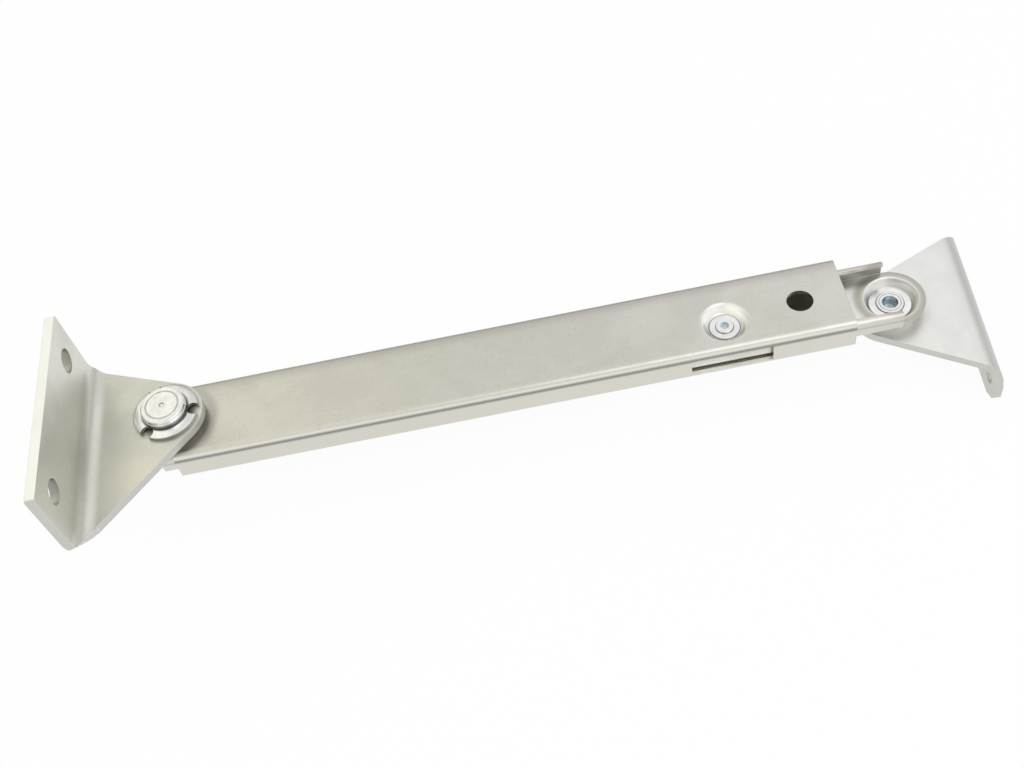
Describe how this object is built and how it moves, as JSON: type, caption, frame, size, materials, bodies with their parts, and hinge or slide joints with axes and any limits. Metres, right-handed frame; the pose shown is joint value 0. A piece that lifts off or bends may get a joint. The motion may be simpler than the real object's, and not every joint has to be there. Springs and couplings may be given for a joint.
{
  "type": "hood support",
  "caption": "Telescopic hood support: an inner steel channel slides in an outer one, a sprung pawl locks it open, and a bent bracket turns on a rivet at each end.",
  "frame": {"origin": "middle between the body bracket's two bolt holes, on the flange's outer face", "axes": "+X along the channels from the body pivot to the hood pivot, +Z square to the channels' front face, +Y across them"},
  "size_m": [0.3143, 0.079, 0.0687],
  "materials": {
    "channel_zinc": "satin zinc plate",
    "body_bracket_zinc": "dull zinc plate",
    "hood_bracket_zinc": "pale matt zinc plate",
    "rivet_zinc": "bright zinc plate",
    "spring_wire": "drawn wire"
  },
  "bodies": {
    "base": {"body_bracket": "body_bracket_zinc", "body_pivot_rivet": "rivet_zinc", "notched_lock_washer": "rivet_zinc", "body_tail_washer": "rivet_zinc"},
    "outer": {"outer_channel": "channel_zinc", "pawl_rivet": "rivet_zinc", "pawl_rivet_washer": "rivet_zinc"},
    "pawl": {"lock_pawl": "channel_zinc", "pawl_spring": "spring_wire"},
    "inner": {"inner_channel": "channel_zinc", "end_stop_stud": "rivet_zinc", "hood_pivot_rivet": "rivet_zinc", "hood_rivet_washer": "rivet_zinc", "hood_thrust_washer": "rivet_zinc"},
    "hood": {"hood_bracket": "hood_bracket_zinc"}
  },
  "joints": [
    {"name": "body_pivot", "type": "hinge", "parent": "base", "child": "outer", "pos_m": [0.0305, 0.0119, -0.0233], "axis": [0, 0, 1], "range_deg": [-90, 90]},
    {"name": "extension", "type": "slide", "parent": "outer", "child": "inner", "axis": [1, 0, 0], "range_m": [0, 0.176]},
    {"name": "hood_pivot", "type": "hinge", "parent": "inner", "child": "hood", "pos_m": [0.2805, 0.0119, -0.0406], "axis": [0, 0, 1], "range_deg": [-80, 90]},
    {"name": "pawl_pivot", "type": "hinge", "parent": "outer", "child": "pawl", "pos_m": [0.2218, 0.0085, -0.0327], "axis": [0, 0, 1], "range_deg": [0, 25], "stiffness_Nm_per_rad": 0.06, "springref_deg": -22.92}
  ]
}
